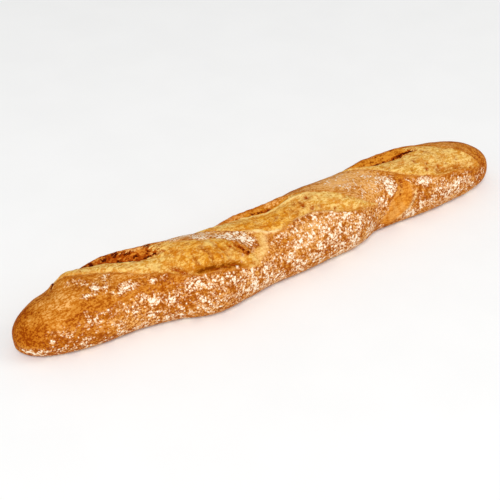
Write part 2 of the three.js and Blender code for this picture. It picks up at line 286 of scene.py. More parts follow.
for s in SCORES:
    t = (X - s["start"]) / (s["end"] - s["start"])
    on = (t > 0) & (t < 1)
    tt = np.clip(t, 0, 1)
    far, tear, near = along(s["far"], tt), along(s["tear"], tt), along(s["near"], tt)
    mm = np.maximum(arc, 1.0) * RAD
    w = np.maximum((near - far) * mm, 1e-3)
    open_ = np.clip(w / 10, 0, 1)
    q = (deg - far) * mm + wander * open_
    p = q / w
    shut = sstep(SHUT[0], SHUT[1], tt)
    closing = sstep(SHUT[0] - 0.06, SHUT[1] - 0.06, tt)
    cut = np.clip((tear - far) * mm / w, 0.10, 0.55) + teeth * open_ / w
    cut = np.clip(cut, 0.07, 0.62)
    ear = s["ear"] * open_ * (1 - 0.72 * sstep(SHUT[0] + 0.08, SHUT[1] + 0.14, tt)) * sstep(s["ear_from"], s["ear_from"] + 0.22, tt)
    deep = s["deep"] * open_ * (1 - closing) * sstep(s["ear_from"] - 0.04, s["ear_from"] + 0.16, tt)
    f0, f1, f2, f3, f_depth = s["furrow"]
    furrow = f_depth * sstep(f0, f1, tt) * sstep(f3, f2, tt)
    dip = 0.55 * s["deep"] * open_ * furrow
    dome = s["dome"] * open_ * (1 - 0.3 * shut)
    lip = LIP_HEIGHT * open_ * (0.4 + 0.6 * shut)
    # the ear's side: a steep wall into the tear, then the bulge of torn dough
    a = np.clip(p / cut, 0, 1)
    b = np.clip((p - cut) / (1 - cut), 0, 1)
    steep = -deep + (ear * 0.92 + deep) * (1 - a) ** 1.3
    bulge = -deep * (1 - b) ** 7 + dome * (4 * b * (1 - b)) ** 0.6 * (1 - 0.35 * b) - 0.6 * open_ * b ** 10
    left = np.where(p < cut, steep, bulge)
    # the closed side: a wide face off the far crust, down to a furrow at the near lip
    a = np.clip(p / VALLEY_AT, 0, 1)
    b = np.clip((p - VALLEY_AT) / (1 - VALLEY_AT), 0, 1)
    wide = ear * (1 - a) - dip * a ** 4 + 3.6 * dome * a * (1 - a) * (1 - 0.3 * a) - 0.6 * open_ * bell(a / 0.06)
    right = np.where(p < VALLEY_AT, wide, -dip + (lip + dip) * b ** 1.2)
    up = np.where(p < 0, ear * bell(np.minimum(q, 0) / EAR_REACH),
                  np.where(p > 1, lip * bell(np.maximum(q - w, 0) / LIP_REACH), left * (1 - shut) + right * shut))
    inside = on & (p > 0) & (p < 1)
    lift += up * on
    slide += np.where(on & (p < cut), (1 - shut) * 0.34 * ear * bell(np.minimum(q, 0) / 4.5) * (1 - np.clip(2 * p / cut, 0, 1)), 0)
    over = s["skin"][0] * sstep(0.62, 0.46, tt) * sstep(0.08, 0.25, tt) + s["skin"][1] * sstep(0.45, 0.65, tt)
    rim = np.where(on, np.minimum(q - over, w - q + 1.5 * ragged * (1 - 0.4 * shut)), -99)
    rim = np.where(on, np.minimum(rim, np.minimum(tt, 1 - tt) * (s["end"] - s["start"]) * 0.6), -99)
    torn = np.maximum(torn, rim)
    begun = sstep(0.03, 0.14, tt)
    above = (s["above"] + 1.1 * ragged) * sstep(3.0, 6.0, cut * w)
    wall = np.maximum(wall, np.where(on, (1 - shut) * sstep(-1.4, 0.0, q) * sstep(0.4, -0.2, q - cut * w + above) * open_ ** 0.5 * begun, 0))
    scorch = np.where(on & (q > -3) & (q < cut * w + 2) & (shut < 0.98), s["scorch"], scorch)
    # partly scorching, partly painted shade: a dark line along the tear and over the lower half of the wall
    down = q - cut * w + above
    tear_line = np.where(down < 0, bell((down + 0.6) / 1.9), bell(down / 0.7)) * (1 - closing)
    low_wall_shade = 0.5 * sstep(0.2, 0.9, p / cut) * (down < 0) * (1 - shut)
    slot_char_and_shade = np.maximum(slot_char_and_shade, np.where(inside, 0.6 * s["scorch"] * np.maximum(tear_line, low_wall_shade) * sstep(0.2, 0.7, open_) * sstep(s["ear_from"], s["ear_from"] + 0.12, tt), 0))
    # painted shade along the furrow at the near lip
    valley = np.maximum(valley, np.where(on, np.where(q < 0.94 * w, bell((q - 0.94 * w) / 3.9), bell((q - 0.94 * w) / 1.5)) * s["shade"] * furrow * open_, 0))
    edge = np.maximum(edge, np.where(on, bell((q + 0.5) / 1.4) * open_ * (0.5 + 0.5 * (1 - shut)) * begun, 0))
    edge = np.maximum(edge, np.where(on, s["rim"] * bell((q - w - 0.8 + 0.6 * ragged) / 1.9) * open_, 0))

# the tip of the crust bridge standing over the end of the first score, with painted shadow in the tear under it
hd, hs = from_path(HOOD, X, deg)
first = SCORES[0]
tt = np.clip((X - first["start"]) / (first["end"] - first["start"]), 0, 1)
under = sstep(-0.6, 0.6, (deg - along(first["far"], tt)) * ARC * RAD) * (X < -42) * (X > -70)
ends = sstep(0, 0.5, hs) * sstep(1, 0.9, hs)
lift += ends * (1.2 * bell(hd / 4.0) * (1 - under) - 1.3 * bell((hd - 1.6) / 2.0) * under)
slot_char_and_shade = np.maximum(slot_char_and_shade, 0.62 * ends * under * bell((hd - 1.4) / 2.2))
wall = np.maximum(wall, 0.95 * ends * under * sstep(6.5, 2.0, hd))
# darker patches on the torn walls, partly scorching and partly painted shade
for fx, fa, lx, la in DARK:
    slot_char_and_shade = np.maximum(slot_char_and_shade, np.minimum(1, 1.6 * wall) * np.exp(-((X - fx) / lx) ** 2 - ((deg - fa) / la) ** 2))
beads = 0.5 + 0.5 * sstep(-0.30, 0.10, layered(P0 / 4.2, 19, 2))
for path, half, depth, strength in GASHES:
    r, f = from_path(path, X, deg)
    r = r + 0.5 * teeth
    ends = sstep(0, 0.12, f + 0.03) * sstep(1, 0.88, f - 0.03)
    lift -= depth * bell(r / half) * ends
    slot_char_and_shade = np.maximum(slot_char_and_shade, strength * beads * bell(r / (half * 1.2)) * ends)

rd, rs = from_path(RIBBON, X, deg)
rd = rd + 1.3 * wander + 1.4 * ragged
lift -= 0.6 * sstep(5.2, 2.0, rd) * sstep(0, 0.15, rs) * sstep(1, 0.85, rs)
smooth = sstep(4.6, 1.8, rd)
for bx, ba, half, across in BARE:
    r = np.hypot((X - bx) / half, (deg - ba) * ARC * RAD / across) + 0.35 * ragged
    smooth = np.maximum(smooth, sstep(1.15, 0.6, r))
cd, cs = from_path(CREASE, X, deg)
ld, ls = from_path(CREASE_LOOK, X, deg)
half = along(CREASE_HALF, ls)
crease = sstep(half + 1.6, half - 1.6, ld + 1.1 * wander + 1.0 * ragged) * sstep(0, 0.12, ls + 0.05)
lift -= (2.1 - 1.1 * cs) * bell(cd / (3.2 + 2.6 * cs)) * sstep(0, 0.2, cs)
lift -= 2.2 * bell((X - 85) / 10) * sstep(30, 75, deg) * sstep(150, 110, deg)
lift += 3.2 * bell((X + 168) / 11) * bell((deg + 30) / 26) - 1.5 * bell((X + 187) / 6) * bell((deg + 30) / 24)

# ---- unevenness of the hand-shaped loaf, its skin, and the torn crumb
free = sstep(-0.5, 3.0, P0[..., 2]) * sstep(0.0, 0.25, share)
tornness = sstep(-0.3, 0.7, torn)
lift += free * 0.45 * layered(P0 / 24.0, 21, 2)
skin_noise = layered(P0 / 4.0, 31, 3)
lift += free * (1 - tornness) * (0.09 * skin_noise + 0.28 * layered(P0 / 11.0, 35, 2))
ear_edge = np.zeros_like(X)
for s in SCORES:                      # the ears' top edges baked into small bumps
    tt = np.clip((X - s["start"]) / (s["end"] - s["start"]), 0, 1)
    far = along(s["far"], tt)
    ear_edge = np.maximum(ear_edge, bell((deg - far) * ARC * RAD / 3.0) * sstep(0.08, 0.2, tt) * sstep(0.62, 0.5, tt))
lift += ear_edge * (0.55 * layered(P0 / 3.6, 61, 2) + 0.2)
strands = 1 - np.abs(layered(P0 * [1 / 9.0, 1 / 4.0, 1 / 4.0], 41, 3)) * 2.4
lumps = layered(P0 / [7.0, 5.0, 5.0], 46, 2)
grain = layered(P0 / 2.6, 51, 2)
inner = sstep(0, 2.0, torn)
lift += tornness * (0.36 * strands + 0.42 * lumps + 0.30 * grain) * inner
# painted shade in the low places of the crumb's relief
hollow_shade = sstep(0.25, -0.85, 0.5 * strands + 0.7 * lumps + 0.6 * grain) * tornness
for path, half, height in RIDGES:
    r, f = from_path(path, X, deg)
    r = r + 0.5 * wander
    shape = bell(r / half) * sstep(0, 0.1, f + 0.02) * sstep(1, 0.9, f - 0.02)
    lift += height * shape
    hollow_shade = hollow_shade * (1 - 0.9 * shape)
for path, half, depth in GROOVES:
    r, f = from_path(path, X, deg)
    r = r + 0.6 * wander
    shape = bell(r / half) * sstep(0, 0.15, f + 0.03) * sstep(1, 0.85, f - 0.03)
    lift -= depth * shape
    hollow_shade = np.maximum(hollow_shade, np.clip(0.95 * depth, 0, 1) * bell(r / (half * 1.1)) * sstep(0, 0.15, f + 0.03) * sstep(1, 0.85, f - 0.03))
# pits in the form, with painted shade in them
pit_shade = np.zeros_like(X)
for px, pa, radius, depth in PITS:
    r = np.hypot(X - px, (deg - pa) * ARC * RAD) + 0.6 * grain
    lift -= 0.8 * depth * bell(r / radius)
    pit_shade = np.maximum(pit_shade, 0.6 * np.clip(depth, 0, 1) * bell(r / (radius * 0.8)))
    hollow_shade = np.maximum(hollow_shade, bell(r / (radius * 1.5)))
rng = np.random.default_rng(5)
for s in SCORES:                      # small burst bubbles scattered through the torn dough, with painted shade in them
    for _ in range(16):
        u, v = rng.uniform(0.15, 0.95), rng.uniform(0.2, 0.85)
        far, near = float(along(s["far"], np.array(u))), float(along(s["near"], np.array(u)))
        px, pa = s["start"] + u * (s["end"] - s["start"]), far + v * (near - far)
        radius, depth = rng.uniform(0.6, 1.1), rng.uniform(0.3, 0.7)
        r = np.hypot(X - px, (deg - pa) * ARC * RAD)
        lift -= depth * bell(r / radius) * tornness
        hollow_shade = np.maximum(hollow_shade, 1.2 * depth * bell(r / radius) * tornness)
slot_char_and_shade = np.maximum(slot_char_and_shade, 0.8 * pit_shade)

P = P0 + N0 * lift[..., None] + T0 * slide[..., None]
P[..., 2] = np.where(P0[..., 2] <= 0, 0, np.maximum(P[..., 2], 0))

# ---- where the flour lies, and how brown the crust is: angle from the top, place along the loaf
FLOUR = [  # x, angle, half length, half angle, amount
    (-168, 0, 6, 10, 0.5), (-166, 20, 6, 8, 0.5), (-155, 16, 8, 8, 0.7), (-146, 36, 9, 9, 0.75), (-129, 34, 10, 7, 0.6),
    (-138, 63, 7, 8, 0.75), (-120, 70, 13, 13, 0.7), (-172, 60, 8, 9, 0.45), (-161, 69, 8, 8, 0.5), (-132, 86, 10, 8, 0.5),
    (-198, 66, 9, 14, 0.3), (-186, 80, 12, 12, 0.3), (-205, 124, 10, 20, 0.85), (-185, 116, 22, 10, 0.42),
    (-150, 116, 26, 9, 0.45), (-115, 110, 22, 12, 0.5), (-98, 62, 14, 14, 0.45), (-80, 66, 14, 15, 0.55),
    (-92, 90, 22, 16, 0.55), (-60, 70, 14, 13, 0.9), (-62, 92, 18, 18, 0.85), (-35, 76, 16, 17, 1.0),
    (-40, 100, 20, 14, 0.85), (-5, 60, 22, 22, 0.82), (-15, 40, 20, 8, 0.7), (0, 92, 28, 22, 0.58),
    (28, 62, 18, 22, 0.78), (25, 42, 18, 8, 0.7), (40, 92, 24, 20, 0.7), (55, 72, 14, 18, 0.75), (68, 66, 8, 14, 0.7),
    (70, 95, 12, 16, 0.65), (62, 0, 18, 18, 0.28), (85, 10, 14, 20, 0.3), (97, 20, 6, 7, 0.8), (102, 36, 5, 9, 0.9),
    (100, 50, 5, 8, 0.9), (90, 58, 8, 8, 0.85), (85, 70, 6, 10, 0.7), (114, 40, 6, 7, 0.7), (128, 50, 7, 7, 0.85),
    (131, 60, 6, 8, 0.7), (122, 68, 6, 7, 0.6), (160, 74, 12, 8, 0.7), (180, 78, 8, 8, 0.7), (197, 74, 7, 12, 0.8),
    (150, 86, 20, 12, 0.7), (113, 105, 14, 9, 0.8), (128, 98, 14, 8, 0.7), (175, 96, 26, 14, 0.6),
    (-54, 0, 11, 11, 0.85), (-42, 16, 6, 16, 0.95), (-40, 28, 4, 9, 0.9), (8, 30, 12, 8, 0.75), (28, 40, 14, 8, 0.5),
    (46, 54, 12, 8, 0.5), (-68, -8, 12, 7, 0.95), (-86, -25, 14, 8, 0.95),
    (-98, -40, 14, 9, 0.85), (-66, -26, 26, 14, 0.75), (60, -22, 24, 16, 0.3), (74, -2, 16, 14, 0.35), (70, 24, 12, 12, 0.45),
    (84, 32, 10, 10, 0.5), (88, -40, 12, 12, 0.6),
    (-200, 110, 12, 9, 0.6), (-211, 112, 6, 14, 0.7), (-117, 38, 9, 7, 0.75), (-149, 6, 7, 5, 0.5),
    (-170, -11, 5, 5, 0.6), (-89, 52, 12, 5, 0.6), (166, 76, 8, 8, 0.75), (142, 95, 10, 8, 0.5),
    (-10, 116, 52, 14, 0.62), (-78, 117, 34, 13, 0.45), (62, 121, 40, 12, 0.4),
    (124, 78, 4, 12, 0.8), (-128, 108, 60, 12, 0.35), (-178, 96, 16, 12, 0.45), (60, 112, 60, 10, 0.5),
    (99, 42, 5, 14, 0.9), (103, 26, 6, 8, 0.9), (92, 24, 5, 8, 0.7), (84, 60, 6, 12, 0.8), (112, 98, 8, 6, 0.9),
    (134, 44, 5, 8, 0.8), (134, 56, 4, 8, 0.8), (142, 74, 6, 8, 0.7), (134, 86, 6, 7, 0.7),
]
CHUNKS = [  # thicker lumps of flour: x, angle
    (-169, 23), (-173, 62), (-175, 50), (-161, 15), (-153, 22), (-146, 40), (-142, 73), (-140, 77), (-132, 59), (-127, 68),
    (-121, 71), (-113, 76), (-128, 89), (-118, 101), (-200, 62), (-201, 80), (-191, 72), (-216, 116), (-212, 118),
    (103, 34), (101, 43), (98, 52), (126, 49), (130, 55), (132, 47),
]
RUBBED = [  # bare crust between the flour: x, angle, half length, half angle
    (-105, 48, 4, 8), (-77, 66, 4, 5), (-86, 75, 5, 6), (-61, 64, 4, 5), (-39, 60, 5, 7), (-29, 56, 4, 6), (-102, 92, 6, 5),
    (-72, 80, 4, 5), (-46, 74, 3, 4), (8, 69, 6, 6), (18, 66, 4, 5), (24, 85, 5, 7), (-2, 76, 6, 7), (40, 78, 4, 6),
    (78, 74, 6, 10), (142, 62, 6, 6), (158, 60, 10, 6), (142, 112, 9, 8), (-150, 50, 7, 7), (-152, 90, 9, 7), (-10, 46, 9, 5),
]
SHADES = [  # browner (+) and paler (-) crust: x, angle, half length, half angle, amount
    (-192, -14, 8, 8, -0.4), (-186, 6, 7, 12, -0.45), (-180, 26, 7, 9, -0.4), (-206, 14, 6, 10, -0.7), (-199, 30, 6, 8, -0.6),
    (-182, 46, 9, 8, 0.4), (-212, 64, 9, 30, 0.3), (-168, -24, 8, 7, 0.8), (-160, -8, 7, 7, 0.7),
    (-36, 34, 3.0, 8, 0.9), (180, 66, 8, 7, 1.3), (168, 63, 7, 6, 0.8), (112, 36, 3.5, 7, 0.9), (74, -5, 26, 26, -1.6),
    (80, 30, 12, 14, -0.8), (54, -10, 18, 12, -1.3), (-4, 62, 26, 20, -0.5), (12, 38, 22, 10, -0.5),
    (0, 115, 55, 12, -0.5), (44, -30, 14, 8, -0.6), (-20, 34, 8, 8, -0.4), (-100, 100, 30, 8, -0.3),
    (-75, -22, 34, 16, -0.9), (28, 50, 26, 12, -0.55), (58, 66, 14, 12, -0.4), (60, 104, 26, 10, -0.4), (165, -22, 26, 14, 0.4), (190, -8, 12, 20, 0.4),
]
ORANGE = [  # smooth stretched crust, path and half width
    ([(-16, 29), (-2, 30), (10, 29), (20, 29)], 1.8), ([(-34, 24), (-36, 29), (-39, 34)], 1.6),
]
flour = np.zeros_like(X)
for fx, fa, lx, la, amount in FLOUR:
    flour = 1 - (1 - flour) * (1 - amount * np.exp(-((X - fx) / lx) ** 2 - ((deg - fa) / la) ** 2))
# the far side carries the same dusting
patchy = lattice_noise(P0 / 34.0, 71)
drift = deg + 22 * patchy + 8 * lattice_noise(P0 / 12.0, 73)
far_side = sstep(-34, -84, drift) * sstep(-140, -105, drift) * sstep(-196, -140, X + 14 * patchy) * sstep(210, 160, X - 14 * patchy)
flour = np.maximum(flour, far_side * (0.60 + 0.34 * patchy))
# flour off the bench, along the foot and under the loaf
foot = sstep(9, 3, P0[..., 2]) * sstep(-214, -200, X) * sstep(214, 198, X)
sole = sstep(0.4, 0.0, P0[..., 2])
flour = np.maximum(flour, foot * (0.70 - sole * (0.30 - 0.22 * patchy)))
for fx, fa, lx, la in RUBBED:
    flour = flour * (1 - 0.85 * np.exp(-((X - fx) / lx) ** 2 - ((deg - fa) / la) ** 2))
near_side = sstep(44, 60, deg) * sstep(124, 112, deg) * sstep(-176, -150, X) * sstep(206, 190, X)
flour = np.maximum(flour, 0.34 * near_side)
lip_bare = 1 - 0.85 * sstep(-4, 8, X) * sstep(84, 68, X) - 0.6 * sstep(-130, -118, X) * sstep(-66, -78, X)
flour = flour * (1 - 0.8 * lip_bare * sstep(-3.6, -0.6, torn + 1.2 * ragged) * sstep(22, 34, deg))
# thickest on the bridge between the first two scores
flour = flour + 0.40 * np.exp(-((X + 41) / 6) ** 2 - ((deg - 16) / 16) ** 2)
r, f = from_path([(-106, -44), (-86, -26), (-68, -9), (-52, 3)], X, deg)
flour = flour + 0.24 * bell(r / 6.0)
for fx, fa in CHUNKS:
    flour = flour + 0.65 * bell(np.hypot(X - fx, (deg - fa) * ARC * RAD) / 2.4)
flour = flour * (1 - tornness) * (1 - 0.95 * crease) * (1 - 0.9 * smooth)
# a few grains fallen into the end of the first score
for fx, fa, radius in ((-53, 39, 1.7), (-56, 46, 1.4), (-61, 51, 1.7)):
    flour = np.maximum(flour, 1.3 * bell(np.hypot(X - fx, (deg - fa) * ARC * RAD) / radius))
brown = 0.7 * np.clip(sstep(-172, -208, X) + sstep(188, 212, X), 0, 1)
for fx, fa, lx, la, amount in SHADES:
    brown = brown + amount * np.exp(-((X - fx) / lx) ** 2 - ((deg - fa) / la) ** 2)
brown = brown - sole * (0.55 - 0.5 * lattice_noise(P0 / 28.0, 75))
golden = np.zeros_like(X)
for gx, ga, lx, la in ((-76, 18, 30, 26), (-18, 6, 32, 22)):
    golden = np.maximum(golden, np.exp(-((X - gx) / lx) ** 4 - ((deg - ga) / la) ** 4))
last = SCORES[2]                       # the last score's crumb turns golden towards its far edge
tt = np.clip((X - last["start"]) / (last["end"] - last["start"]), 0, 1)
golden = np.maximum(golden, 0.9 * sstep(8.0, 3.0, (deg - along(last["far"], tt)) * ARC * RAD) * sstep(0.55, 0.75, tt) * (torn > 0))
stain = np.zeros_like(X)
for fx, fa, lx, la, amount in STAINS:
    stain = np.maximum(stain, amount * np.exp(-((X + 1.4 * wander - fx) / lx) ** 2 - ((deg + 3 * ragged - fa) / la) ** 2))
cream = np.zeros_like(X)
for path, half, amount in CREAMS:
    r, f = from_path(path, X, deg)
    cream = np.maximum(cream, amount * bell((r + 0.4 * wander + 0.5 * ragged) / half) * sstep(0, 0.1, f + 0.03) * sstep(1, 0.8, f - 0.03))
for path, half in ORANGE:
    r, f = from_path(path, X, deg)
    crease = np.maximum(crease, sstep(half + 1.5, half - 1.5, r + 1.2 * ragged) * sstep(0, 0.1, f + 0.03) * sstep(1, 0.9, f - 0.03))

# ---------------------------------------------------------------- the mesh
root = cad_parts["loaf"]
cad = np.array([v.co[:] for v in root.data.vertices]) / MM
shift = cad[np.argmin(cad[:, 0]), 1] - SWAY[0]
P[..., 1] += shift
n = len(xs)
tips = [(-LENGTH / 2, SWAY[0] + shift, TIP_HEIGHT[0]), (LENGTH / 2, SWAY[-1] + shift, TIP_HEIGHT[1])]
verts = np.concatenate([P.reshape(-1, 3), tips]) * MM
col = np.arange(COLUMNS)
nxt = (col + 1) % COLUMNS
faces, uvs = [], []
# one map over the whole skin: length across, girth up, each section by its own arc
step = np.linalg.norm(np.diff(np.concatenate([P, P[:, :1]], 1), axis=1), axis=-1)
v_at = np.concatenate([np.zeros((n, 1)), np.cumsum(step, 1)], 1)
v_at /= v_at[:, -1:]
run = np.linalg.norm(np.diff(P[:, COLUMNS // 2], axis=0), axis=-1)
u_at = np.concatenate([[0], np.cumsum(run)]) + 3.0
u_at /= u_at[-1] + 3.0
for r in range(n - 1):
    a, b = r * COLUMNS + col, r * COLUMNS + nxt
    c, d = (r + 1) * COLUMNS + nxt, (r + 1) * COLUMNS + col
    faces.append(np.stack([a, b, c, d], 1))
    uvs.append(np.stack([
        np.stack([np.full(COLUMNS, u_at[r]), v_at[r, :-1]], 1), np.stack([np.full(COLUMNS, u_at[r]), v_at[r, 1:]], 1),
        np.stack([np.full(COLUMNS, u_at[r + 1]), v_at[r + 1, 1:]], 1),
        np.stack([np.full(COLUMNS, u_at[r + 1]), v_at[r + 1, :-1]], 1)], 1))
quads = np.concatenate(faces)
quad_uv = np.concatenate(uvs)
left, right = n * COLUMNS, n * COLUMNS + 1
fan_l = np.stack([np.full(COLUMNS, left), nxt, col], 1)
fan_r = np.stack([np.full(COLUMNS, right), (n - 1) * COLUMNS + col, (n - 1) * COLUMNS + nxt], 1)
mid_l = (v_at[0, :-1] + v_at[0, 1:]) / 2
mid_r = (v_at[-1, :-1] + v_at[-1, 1:]) / 2
fan_l_uv = np.stack([np.stack([np.zeros(COLUMNS), mid_l], 1), np.stack([np.full(COLUMNS, u_at[0]), v_at[0, 1:]], 1),
                     np.stack([np.full(COLUMNS, u_at[0]), v_at[0, :-1]], 1)], 1)
fan_r_uv = np.stack([np.stack([np.ones(COLUMNS), mid_r], 1), np.stack([np.full(COLUMNS, u_at[-1]), v_at[-1, :-1]], 1),
                     np.stack([np.full(COLUMNS, u_at[-1]), v_at[-1, 1:]], 1)], 1)
mesh = bpy.data.meshes.new("baguette_skin")
mesh.from_pydata(verts.tolist(), [], quads.tolist() + fan_l.tolist() + fan_r.tolist())
uv = mesh.uv_layers.new(name="OFBake")
uv.data.foreach_set("uv", np.concatenate([quad_uv.reshape(-1, 2), fan_l_uv.reshape(-1, 2),
                                          fan_r_uv.reshape(-1, 2)]).astype(np.float32).ravel())
for name, field, ends in (("torn", torn, -99), ("wall", wall, 0), ("slot_char_and_shade", slot_char_and_shade, 0), ("valley", valley, 0),
                          ("edge", edge, 0), ("flour", flour, 0), ("foot", foot, 0), ("brown", brown, 0.6),
                          ("stretch", crease, 0), ("hollow_shade", hollow_shade, 0), ("golden", golden, 0), ("stain", stain, 0),
                          ("cream", cream, 0), ("smooth", smooth, 0), ("scorch", scorch, 0.8)):
    values = np.concatenate([np.clip(field, -6, 6).ravel(), (ends, ends)]).astype(np.float32)
    mesh.attributes.new(name, "FLOAT", "POINT").data.foreach_set("value", values)
mesh.polygons.foreach_set("use_smooth", np.ones(len(mesh.polygons), bool))
mesh.update()
mesh.validate()
loaf = bpy.data.objects.new("baguette_skin", mesh)
bpy.context.scene.collection.objects.link(loaf)


# ---------------------------------------------------------------- materials
def linear(r, g, b):
    return tuple(((c / 255 + 0.055) / 1.055) ** 2.4 if c > 10 else c / 255 / 12.92 for c in (r, g, b)) + (1.0,)


class Nodes:
    """Small helper that wires shader nodes."""

    def __init__(self, material):
        material.use_nodes = True
        self.tree = material.node_tree
        self.tree.nodes.clear()
        self.out = self.tree.nodes.new("ShaderNodeOutputMaterial")
        self.coords = self.tree.nodes.new("ShaderNodeTexCoord").outputs["Object"]

    def put(self, socket, value):
        if isinstance(value, bpy.types.NodeSocket):
            self.tree.links.new(value, socket)
        else:
            socket.default_value = value

    def attr(self, name):
        n = self.tree.nodes.new("ShaderNodeAttribute")
        n.attribute_name = name
        return n.outputs["Fac"]

    def math(self, op, a, b=0.0, c=0.0, clamp=False):
        n = self.tree.nodes.new("ShaderNodeMath")
        n.operation = op
        n.use_clamp = clamp
        self.put(n.inputs[0], a)
        self.put(n.inputs[1], b)
        if op in ("MULTIPLY_ADD",):
            self.put(n.inputs[2], c)
        return n.outputs[0]

    def times(self, *values):
        out = values[0]
        for v in values[1:]:
            out = self.math("MULTIPLY", out, v)
        return out

    def total(self, *pairs):
        """Sum of value * weight."""
        out = self.math("MULTIPLY", *pairs[0])
        for value, weight in pairs[1:]:
            out = self.math("MULTIPLY_ADD", value, weight, out)
        return out

    def ramp(self, value, lo, hi, out_lo=0.0, out_hi=1.0):
        n = self.tree.nodes.new("ShaderNodeMapRange")
        n.interpolation_type = "SMOOTHSTEP"
        self.put(n.inputs["Value"], value)
        self.put(n.inputs["From Min"], lo)
        self.put(n.inputs["From Max"], hi)
        self.put(n.inputs["To Min"], out_lo)
        self.put(n.inputs["To Max"], out_hi)
        return n.outputs["Result"]

    def stretch(self, x, y, z):
        n = self.tree.nodes.new("ShaderNodeMapping")
        self.tree.links.new(self.coords, n.inputs["Vector"])
        n.inputs["Scale"].default_value = (x, y, z)
        return n.outputs["Vector"]

    def noise(self, size_mm, detail=2.0, rough=0.5, vector=None, distortion=0.0, offset=0.0):
        n = self.tree.nodes.new("ShaderNodeTexNoise")
        n.noise_dimensions = "4D"
        n.inputs["W"].default_value = offset
        self.tree.links.new(vector or self.coords, n.inputs["Vector"])
        n.inputs["Scale"].default_value = 1000.0 / size_mm
        n.inputs["Detail"].default_value = detail
        n.inputs["Roughness"].default_value = rough
        n.inputs["Distortion"].default_value = distortion
        return n.outputs["Fac"]

    def cells(self, size_mm, vector=None):
        """Distance to the nearest scattered point, in cell widths, and that point's random number."""
        n = self.tree.nodes.new("ShaderNodeTexVoronoi")
        n.distance = "MANHATTAN"
        self.tree.links.new(vector or self.coords, n.inputs["Vector"])
        n.inputs["Scale"].default_value = 1000.0 / size_mm
        c = self.tree.nodes.new("ShaderNodeSeparateColor")
        self.tree.links.new(n.outputs["Color"], c.inputs["Color"])
        return n.outputs["Distance"], c.outputs["Red"]

    def mix(self, fac, a, b, blend="MIX"):
        n = self.tree.nodes.new("ShaderNodeMix")
        n.data_type = "RGBA"
        n.blend_type = blend
        self.put(n.inputs[0], fac)
        self.put(n.inputs[6], a)
        self.put(n.inputs[7], b)
        return n.outputs[2]


crust = bpy.data.materials.new("crust_look")
m = Nodes(crust)
torn_f, wall_f, slot_char_and_shade_f, valley_f, edge_f = (m.attr(k) for k in ("torn", "wall", "slot_char_and_shade", "valley", "edge"))
flour_f, foot_f, brown_f, stretch_f = (m.attr(k) for k in ("flour", "foot", "brown", "stretch"))
hollow_shade_f, golden_f, stain_f, cream_f, smooth_f = (m.attr(k) for k in ("hollow_shade", "golden", "stain", "cream", "smooth"))
scorch_f = m.attr("scorch")
FLOUR_LEVEL = 0.748


def spread(fac, lo=0.36, hi=0.64):
    return m.ramp(fac, lo, hi)


broad = m.noise(24, 2, 0.5, offset=1.0)
cloud = m.noise(13.0, 3, 0.55, vector=m.stretch(0.55, 1.0, 1.0), offset=2.0, distortion=0.6)
mottle = m.noise(3.4, 3, 0.65, offset=3.0)
grit = m.total((m.noise(1.2, 2, 0.65, offset=4.0), 0.85),
               (m.noise(1.35, 2, 0.6, vector=m.stretch(0.35, 1.0, 1.0), offset=4.5), 0.85))
grit = m.math("SUBTRACT", grit, 0.35)

# crust: orange brown with paler streaks, browner at the ends
tone = m.total((spread(cloud, 0.36, 0.64), 0.34), (spread(broad), 0.16), (spread(grit, 0.38, 0.62), 0.50), (brown_f, 0.30))
skin = m.mix(m.ramp(tone, 0.06, 0.34), linear(240, 180, 106), linear(210, 138, 52))
skin = m.mix(m.ramp(tone, 0.32, 0.66), skin, linear(190, 108, 20))
skin = m.mix(m.ramp(tone, 0.64, 1.0), skin, linear(146, 62, 2))
pull = spread(m.noise(4.0, 2, 0.6, vector=m.stretch(1.0, 0.4, 0.4), offset=12.0), 0.38, 0.62)
stretched = m.mix(m.total((spread(mottle), 0.45), (spread(grit), 0.55)), linear(226, 150, 52), linear(186, 98, 8))
stretched = m.mix(m.times(spread(m.noise(7.0, 2, 0.6, offset=17.0), 0.50, 0.64), 0.45), stretched, linear(236, 178, 96))
stretched = m.mix(m.ramp(m.total((brown_f, 0.7), (grit, 0.6)), 0.50, 0.90), stretched, linear(150, 62, 4))
skin = m.mix(m.times(stretch_f, m.ramp(grit, 0.3, 0.7, 0.95, 0.6)), skin, stretched)
bare = m.mix(m.total((pull, 0.5), (spread(grit), 0.5)), linear(240, 200, 116), linear(212, 142, 44))
skin = m.mix(m.times(smooth_f, m.ramp(mottle, 0.36, 0.60, 1.0, 0.55)), skin, bare)
skin = m.mix(m.times(edge_f, m.ramp(mottle, 0.35, 0.65, 0.35, 0.9)), skin, linear(162, 80, 8))

# torn crumb: pale gold, golden orange where it baked longer, with painted shade in its hollows
drawn = m.stretch(0.5, 1.0, 1.0)
fibre = m.noise(2.6, 2, 0.6, vector=drawn, offset=5.0)
toast = m.noise(6.5, 3, 0.6, offset=6.0)
weave = spread(m.total((fibre, 0.40), (grit, 0.60)), 0.39, 0.61)
crumb = m.mix(weave, linear(244, 205, 124), linear(205, 141, 42))
crumb = m.mix(m.times(golden_f, m.ramp(toast, 0.34, 0.60, 0.40, 1.0)), crumb,
              m.mix(weave, linear(236, 168, 46), linear(194, 108, 2)))
crumb = m.mix(m.times(m.ramp(toast, 0.50, 0.62), 0.7), crumb, linear(204, 124, 22))
crumb = m.mix(m.times(m.ramp(m.noise(9.0, 2, 0.6, offset=14.0), 0.54, 0.66), 0.7), crumb, linear(242, 204, 120))
crumb = m.mix(m.times(stain_f, m.ramp(m.total((fibre, 0.5), (grit, 0.5)), 0.36, 0.60, 0.45, 1.0)), crumb, linear(184, 92, 4))
